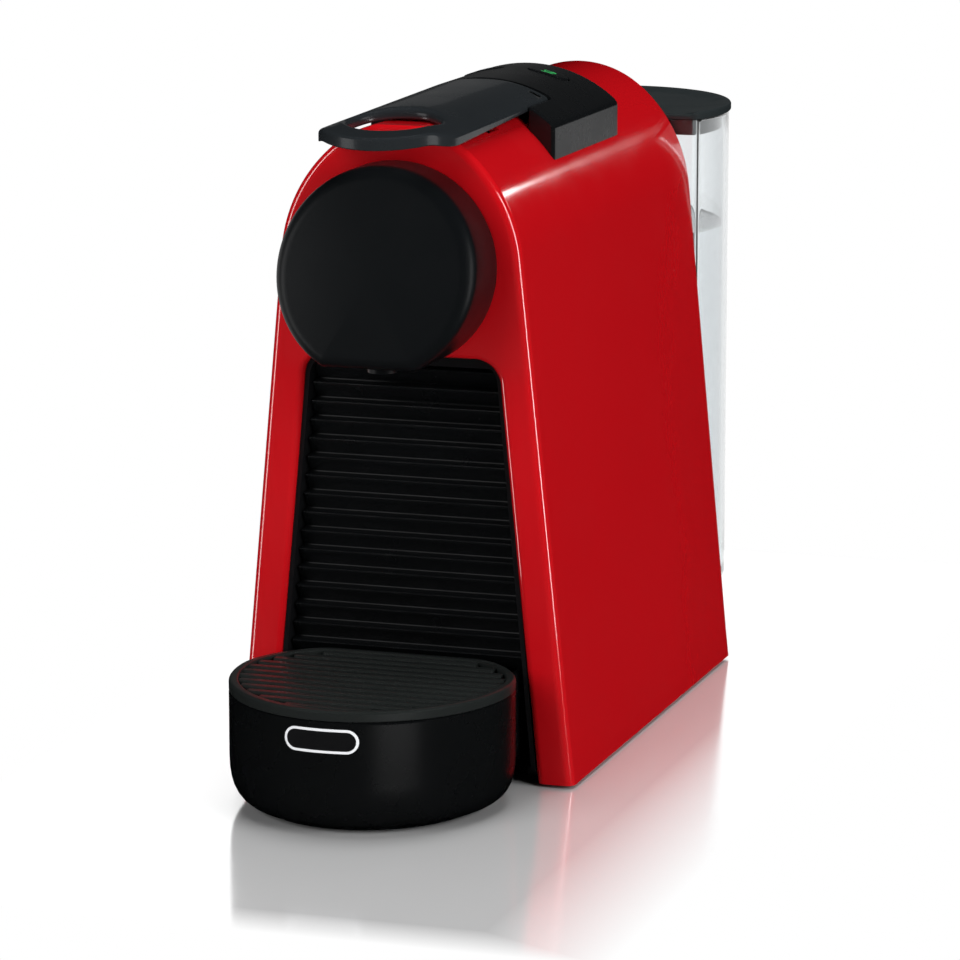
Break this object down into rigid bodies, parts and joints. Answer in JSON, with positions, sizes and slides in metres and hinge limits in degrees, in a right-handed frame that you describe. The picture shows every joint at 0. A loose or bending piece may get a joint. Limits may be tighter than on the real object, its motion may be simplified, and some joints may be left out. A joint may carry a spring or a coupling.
{
  "type": "capsule espresso machine",
  "caption": "Narrow arched capsule espresso machine with a lever-operated brew head, a pull-out drip and used-capsule module, two top buttons and a lift-off rear water tank.",
  "frame": {"origin": "on the table, under the middle of the footprint", "axes": "front towards -Y, up +Z, +X to the right when facing the back of the machine from its front"},
  "size_m": [0.1076, 0.3265, 0.205],
  "materials": {
    "red_paint": "glossy red moulded shell",
    "black_plastic": "fine matt black moulding",
    "head_plastic": "satin near-black moulding",
    "console_plastic": "satin near-black moulding",
    "lever_plastic": "satin black with a blue-grey sheen",
    "tray_plastic": "semi-gloss black moulding",
    "lid_plastic": "matt charcoal moulding",
    "tank_clear": null,
    "valve_plastic": "moulded blue-grey",
    "pump_plastic": "moulded dark grey",
    "white_plastic": "moulded off-white",
    "board_green": "coated circuit board",
    "clear_hose": "soft translucent tube",
    "black_rubber": "matt soft rubber",
    "seal_rubber": "soft silicone seal",
    "dome_rubber": "soft switch dome",
    "cream_ceramic": "fired cut-out body",
    "cast_aluminium": "as cast",
    "sheet_steel": "brushed sheet",
    "screw_steel": "zinc-plated",
    "badge_metal": "blank brushed plate"
  },
  "bodies": {
    "chassis": {"shell": "red_paint", "rear_cover": "black_plastic", "base_plate": "black_plastic", "feet": "black_rubber", "bay_liner": "black_plastic", "chassis_left": "sheet_steel", "chassis_right": "sheet_steel", "head_cover": "head_plastic", "outlet_nozzle": "black_plastic", "head_screws": "screw_steel", "console": "console_plastic", "lever_pin": "screw_steel", "capsule_chute": "black_plastic", "injection_block": "black_plastic", "brew_seal": "seal_rubber", "thermoblock": "cast_aluminium", "thermal_cutout": "cream_ceramic", "pump_body": "pump_plastic", "pump_spring": "screw_steel", "pump_mounts": "black_rubber", "flow_meter": "white_plastic", "control_board": "board_green", "suction_hose": "clear_hose", "pressure_hose": "clear_hose", "tank_dock": "black_plastic", "dock_seal": "seal_rubber", "cord_gland": "black_rubber", "cover_screws": "screw_steel", "dome_left": "dome_rubber", "dome_right": "dome_rubber"},
    "lever": {"lever": "lever_plastic", "lever_crank": "sheet_steel"},
    "carriage": {"brew_carriage": "black_plastic", "piercing_plate": "screw_steel"},
    "button_left": {"button_left": "console_plastic"},
    "button_right": {"button_right": "console_plastic"},
    "drip_module": {"drip_body": "tray_plastic", "tray_badge": "badge_metal", "front_panel": "black_plastic", "capsule_container": "black_plastic"},
    "cup_grid": {"cup_grid": "tray_plastic"},
    "tank": {"tank": "tank_clear"},
    "tank_lid": {"tank_lid": "lid_plastic"},
    "tank_valve": {"tank_valve": "valve_plastic"},
    "plunger": {"pump_plunger": "screw_steel"}
  },
  "joints": [
    {"name": "lever_hinge", "type": "hinge", "parent": "chassis", "child": "lever", "pos_m": [0, -0.0169, 0.2005], "axis": [-1, 0, 0], "range_deg": [0, 88]},
    {"name": "carriage_slide", "type": "slide", "parent": "chassis", "child": "carriage", "axis": [0, -1, 0], "range_m": [0, 0.0167]},
    {"name": "button_left_press", "type": "slide", "parent": "chassis", "child": "button_left", "axis": [0, 0, -1], "range_m": [0, 0.001], "stiffness_N_per_m": 1500, "deforming": ["dome_left"]},
    {"name": "button_right_press", "type": "slide", "parent": "chassis", "child": "button_right", "axis": [0, 0, -1], "range_m": [0, 0.001], "stiffness_N_per_m": 1500, "deforming": ["dome_right"]},
    {"name": "module_slide", "type": "slide", "parent": "chassis", "child": "drip_module", "axis": [0, -1, 0], "range_m": [0, 0.11]},
    {"name": "grid_lift", "type": "slide", "parent": "drip_module", "child": "cup_grid", "axis": [0, 0, 1], "range_m": [0, 0.03]},
    {"name": "tank_lift", "type": "slide", "parent": "chassis", "child": "tank", "axis": [0, 0, 1], "range_m": [0, 0.06]},
    {"name": "lid_lift", "type": "slide", "parent": "tank", "child": "tank_lid", "axis": [0, 0, 1], "range_m": [0, 0.02]},
    {"name": "valve_drop", "type": "slide", "parent": "tank", "child": "tank_valve", "axis": [0, 0, -1], "range_m": [0, 0.002]},
    {"name": "plunger_stroke", "type": "slide", "parent": "chassis", "child": "plunger", "axis": [0, 1, 0], "range_m": [0, 0.003], "stiffness_N_per_m": 800}
  ],
  "couplings": [
    {"joint": "carriage_slide", "follows": "lever_hinge", "m_per_rad": 0.010808},
    {"joint": "valve_drop", "follows": "tank_lift", "ratio": 0.033}
  ]
}
